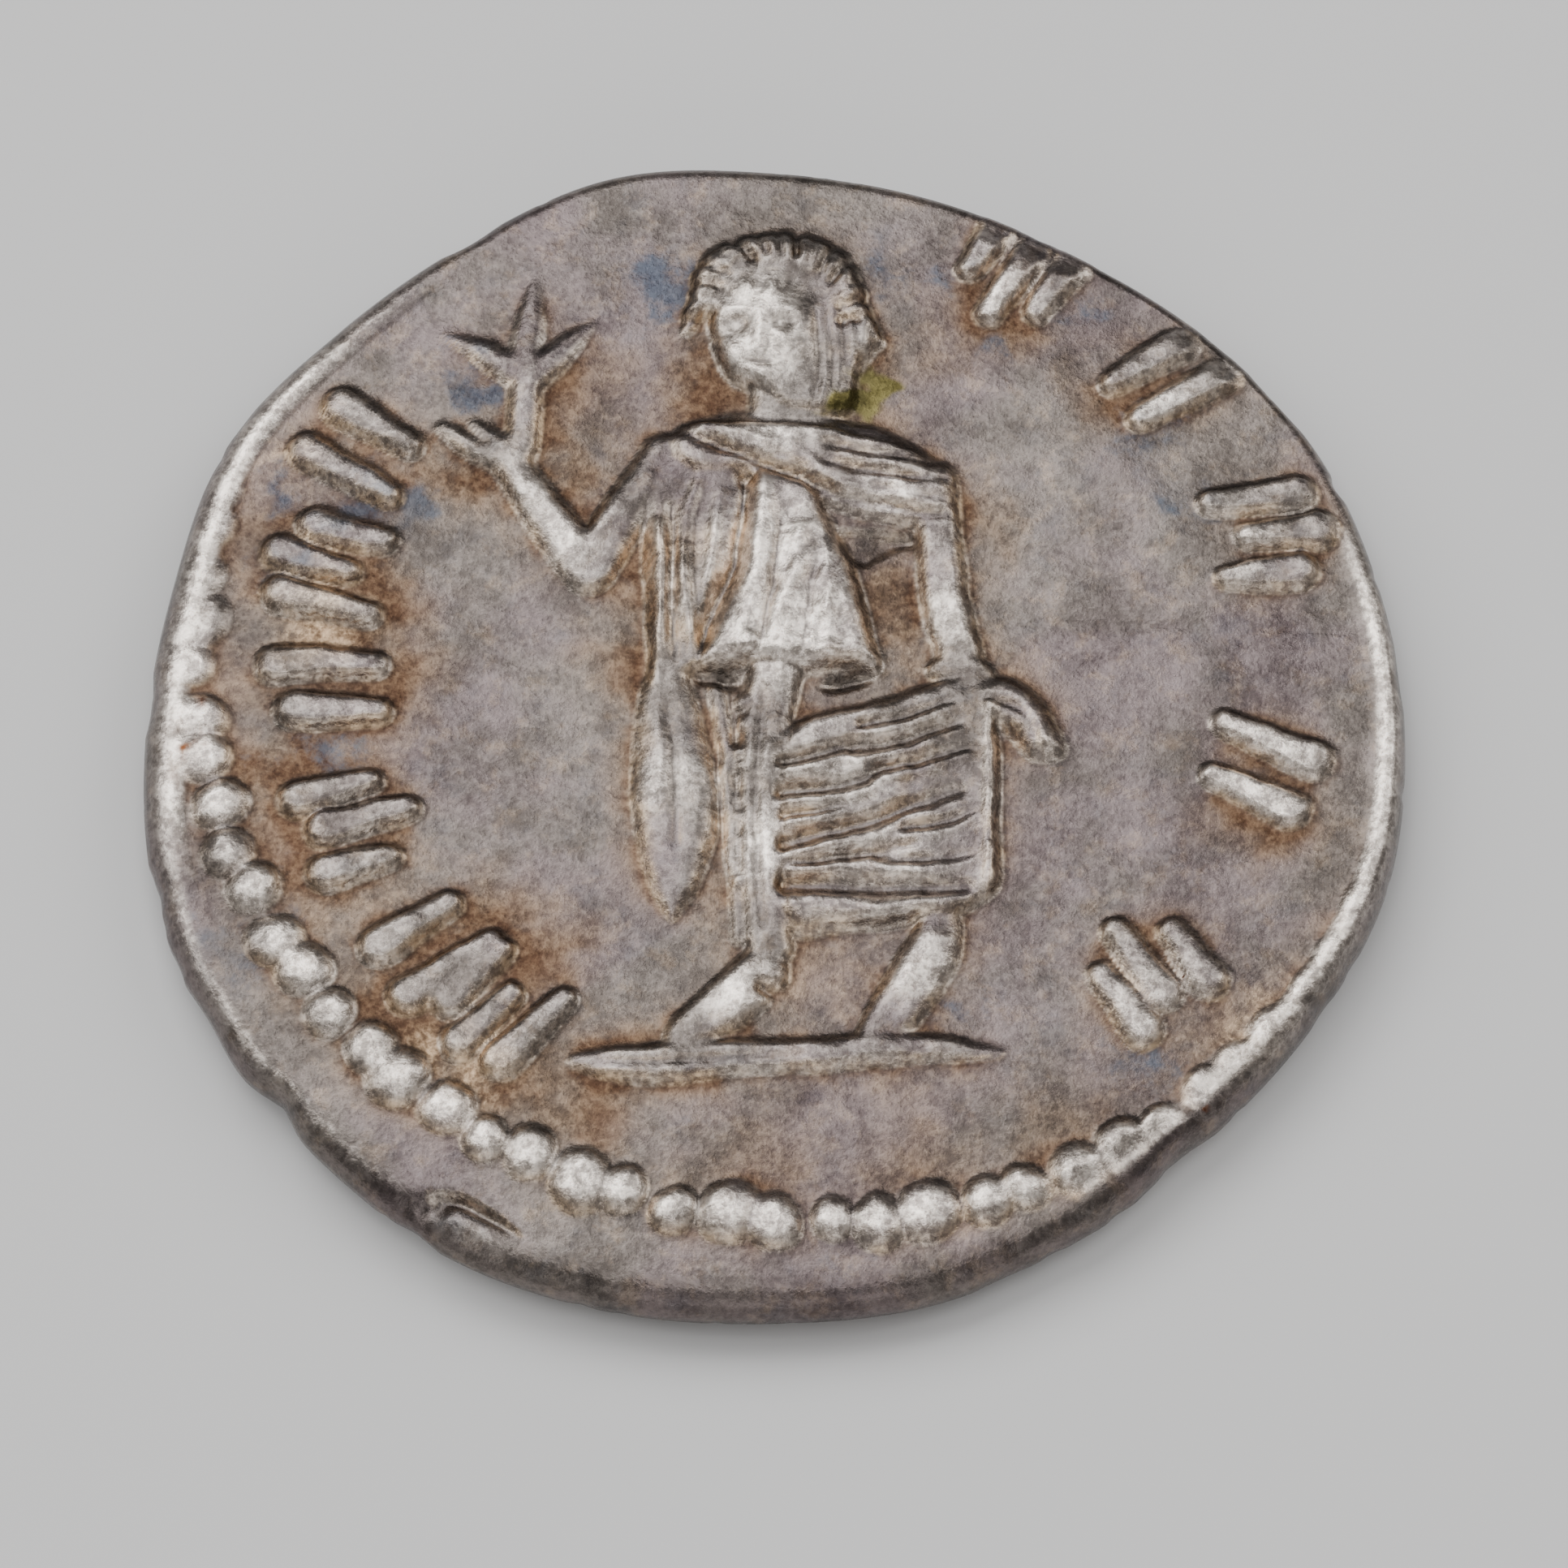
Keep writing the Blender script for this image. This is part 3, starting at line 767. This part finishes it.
# silver: speckled tones laid one over another, each by its mask; rough and less metal where brown
def tonedSilver(t, s):
    mat = bpy.data.materials.new("toned_silver")
    mat.use_nodes = True
    tree = mat.node_tree
    tree.nodes.clear()
    web = Sock(tree)
    place = web.node("ShaderNodeTexCoord", {}, {}, "Object")
    inMm = web.node("ShaderNodeVectorMath", {"operation": "SCALE"}, {0: place, "Scale": 1 / mm})
    amount, gain, loss = s["amount"], s["gain"], s["loss"]

    def noise(scale, detail, rough):
        return web.node("ShaderNodeTexNoise", {},
                        {"Vector": inMm, "Scale": scale, "Detail": detail, "Roughness": rough})

    def mask(name):
        return web.node("ShaderNodeAttribute", {"attribute_name": name}, {}, "Fac")

    # sum of noises, each times its weight
    def blend(name):
        return sum(noises[kind] * weight for kind, weight in s["blend"][name].items())

    # smooth step over the mask's own range
    def ranged(name, value):
        return value.step(*s["range"][name])

    # least + what the value adds
    def share(name, value):
        least, more = s["share"][name]
        return least + value * more

    noises = {name: noise(*values) for name, values in s["noise"].items()}
    grain, stain = noises["grain"], noises["stain"]
    speckle, glint = ranged("speckle", blend("speckle")), ranged("glint", blend("glint"))
    tone = {name: speckle.mix(*pair) for name, pair in t.items()}
    crest, hollow, halo, haze = mask("crest"), mask("hollow"), mask("halo"), mask("haze")
    form, bright = mask("form"), mask("bright")
    spread, sunk = ranged("spread", stain), ranged("sunk", hollow)
    spots = mask("brown") * (1 - form * loss["spotsOnForm"])
    golden = ranged("gold", haze * share("gold", spread) + spots * gain["spots"])
    spotted = spots * share("spots", haze) * share("spotSpread", spread)
    brown = ranged("brown", halo * share("brown", spread) + spotted)
    worn = ranged("worn", crest * gain["crest"] + bright * form * gain["bright"]) * share("worn", glint)
    worn = (worn + bright * form * share("shine", glint)) * (1 - sunk * loss["wornInHollow"])
    blue, olive, rust = (ranged(name, mask(name) + blend(name) - loss[name])
                         for name in ("blue", "olive", "rust"))
    tone["polish"] = share("polish", spread).mix(tone["bright"], tone["amber"])
    colour = ranged("cloud", noises["cloud"]).mix(tone["field"], tone["violet"])
    layers = (
        (ranged("warm", noises["warm"]) * amount["warm"], "amber"),
        (ranged("cool", noises["cool"]) * amount["cool"], "blue"),
        (golden * amount["gold"], "gold"),
        (brown * amount["brown"], "brown"),
        (golden * glint * amount["glow"], "amber"),
        (mask("tan") * share("tan", glint), "amber"),
        (blue * amount["blue"], "blue"),
        (sunk * share("sunk", form), "dark"),
        (ranged("far", mask("far")) * amount["far"], "dark"),
        (ranged("edge", mask("edge")) * share("edge", glint), "polish"),
        (worn, "bright"),
        (mask("shade") * share("shade", grain), "dark"),
        (olive, "olive"),
        (rust, "rust"),
        (mask("pits") * ranged("pits", noises["grit"]), "dark"),
    )
    for cover, name in layers:
        colour = cover.mix(colour, tone[name])
    rough = s["rough"] + blend("rough") + brown * s["brownRough"]
    bump = web.node("ShaderNodeBump", {}, {
        "Strength": s["bumpStrength"], "Distance": s["bumpHeight"], "Height": blend("bump")})
    skin = web.node("ShaderNodeBsdfPrincipled", {}, {
        "Base Color": colour, "Metallic": 1 - brown * loss["metal"], "Roughness": rough, "Normal": bump})
    tree.links.new(skin.out, tree.nodes.new("ShaderNodeOutputMaterial").inputs["Surface"])
    return mat

# the coin's mesh in metres, one float per vertex for every mask
def makeCoin():
    mesh = bpy.data.meshes.new("struck_coin")
    mesh.from_pydata((points * mm).tolist(), [], faces)
    mesh.shade_smooth()
    for name, values in masks.items():
        mesh.attributes.new(name, "FLOAT", "POINT").data.foreach_set("value", values.astype(np.float32))
    coin = bpy.data.objects.new("struck_coin", mesh)
    bpy.context.collection.objects.link(coin)
    mesh.materials.append(tonedSilver(tones, silver))
    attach(coin, "root")
    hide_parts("coin")

makeCoin()
print("coin placed")


# pale floor and soft lights: a wide one above and behind to the left, strips at both sides
studio = {"floor": .66, "floorRough": .8, "floorSize": .9, "floorLevel": -.00001,
          "world": (.38, .37, .365, 1), "worldStrength": .85}
lamps = {  # azimuth from +Y towards -X, elevation, distance, width, height, watts
    "main": (28, 60, .50, .36, .36, 1.5),
    "front": (180, 26, .50, .50, .20, .40),
    "left": (80, 42, .50, .22, .30, .55),
    "right": (-66, 44, .50, .24, .30, .60),
    "top": (180, 76, .50, .24, .20, .50),
}

# floor square just under the coin, even light from all round
def makeStudio(s):
    half, level = s["floorSize"] / 2, s["floorLevel"]
    corners = [(-half, -half, level), (half, -half, level), (half, half, level), (-half, half, level)]
    mesh = bpy.data.meshes.new("floor")
    mesh.from_pydata(corners, [], [(0, 1, 2, 3)])
    floor = bpy.data.objects.new("floor", mesh)
    bpy.context.collection.objects.link(floor)
    mat = bpy.data.materials.new("floor_paper")
    mat.use_nodes = True
    skin = mat.node_tree.nodes["Principled BSDF"]
    skin.inputs["Base Color"].default_value = (s["floor"], s["floor"], s["floor"], 1)
    skin.inputs["Roughness"].default_value = s["floorRough"]
    mesh.materials.append(mat)
    world = bpy.data.worlds.new("studio")
    world.use_nodes = True
    sky = world.node_tree.nodes["Background"]
    sky.inputs["Color"].default_value = s["world"]
    sky.inputs["Strength"].default_value = s["worldStrength"]
    bpy.context.scene.world = world

# lamp on a ball round the coin, turned to face the middle
def makeLamp(name, azimuth, elevation, distance, wide, tall, watts):
    a, e = np.radians(azimuth), np.radians(elevation)
    data = bpy.data.lights.new(name, "AREA")
    data.shape, data.size, data.size_y, data.energy = "RECTANGLE", wide, tall, watts
    lamp = bpy.data.objects.new(name, data)
    lamp.location = Vector((-np.sin(a) * np.cos(e), np.cos(a) * np.cos(e), np.sin(e))) * distance
    lamp.rotation_euler = (-lamp.location).to_track_quat("-Z", "Y").to_euler()
    bpy.context.collection.objects.link(lamp)

makeStudio(studio)
for name, values in lamps.items():
    makeLamp(name, *values)
print("floor and lights set")

print("sizes written")
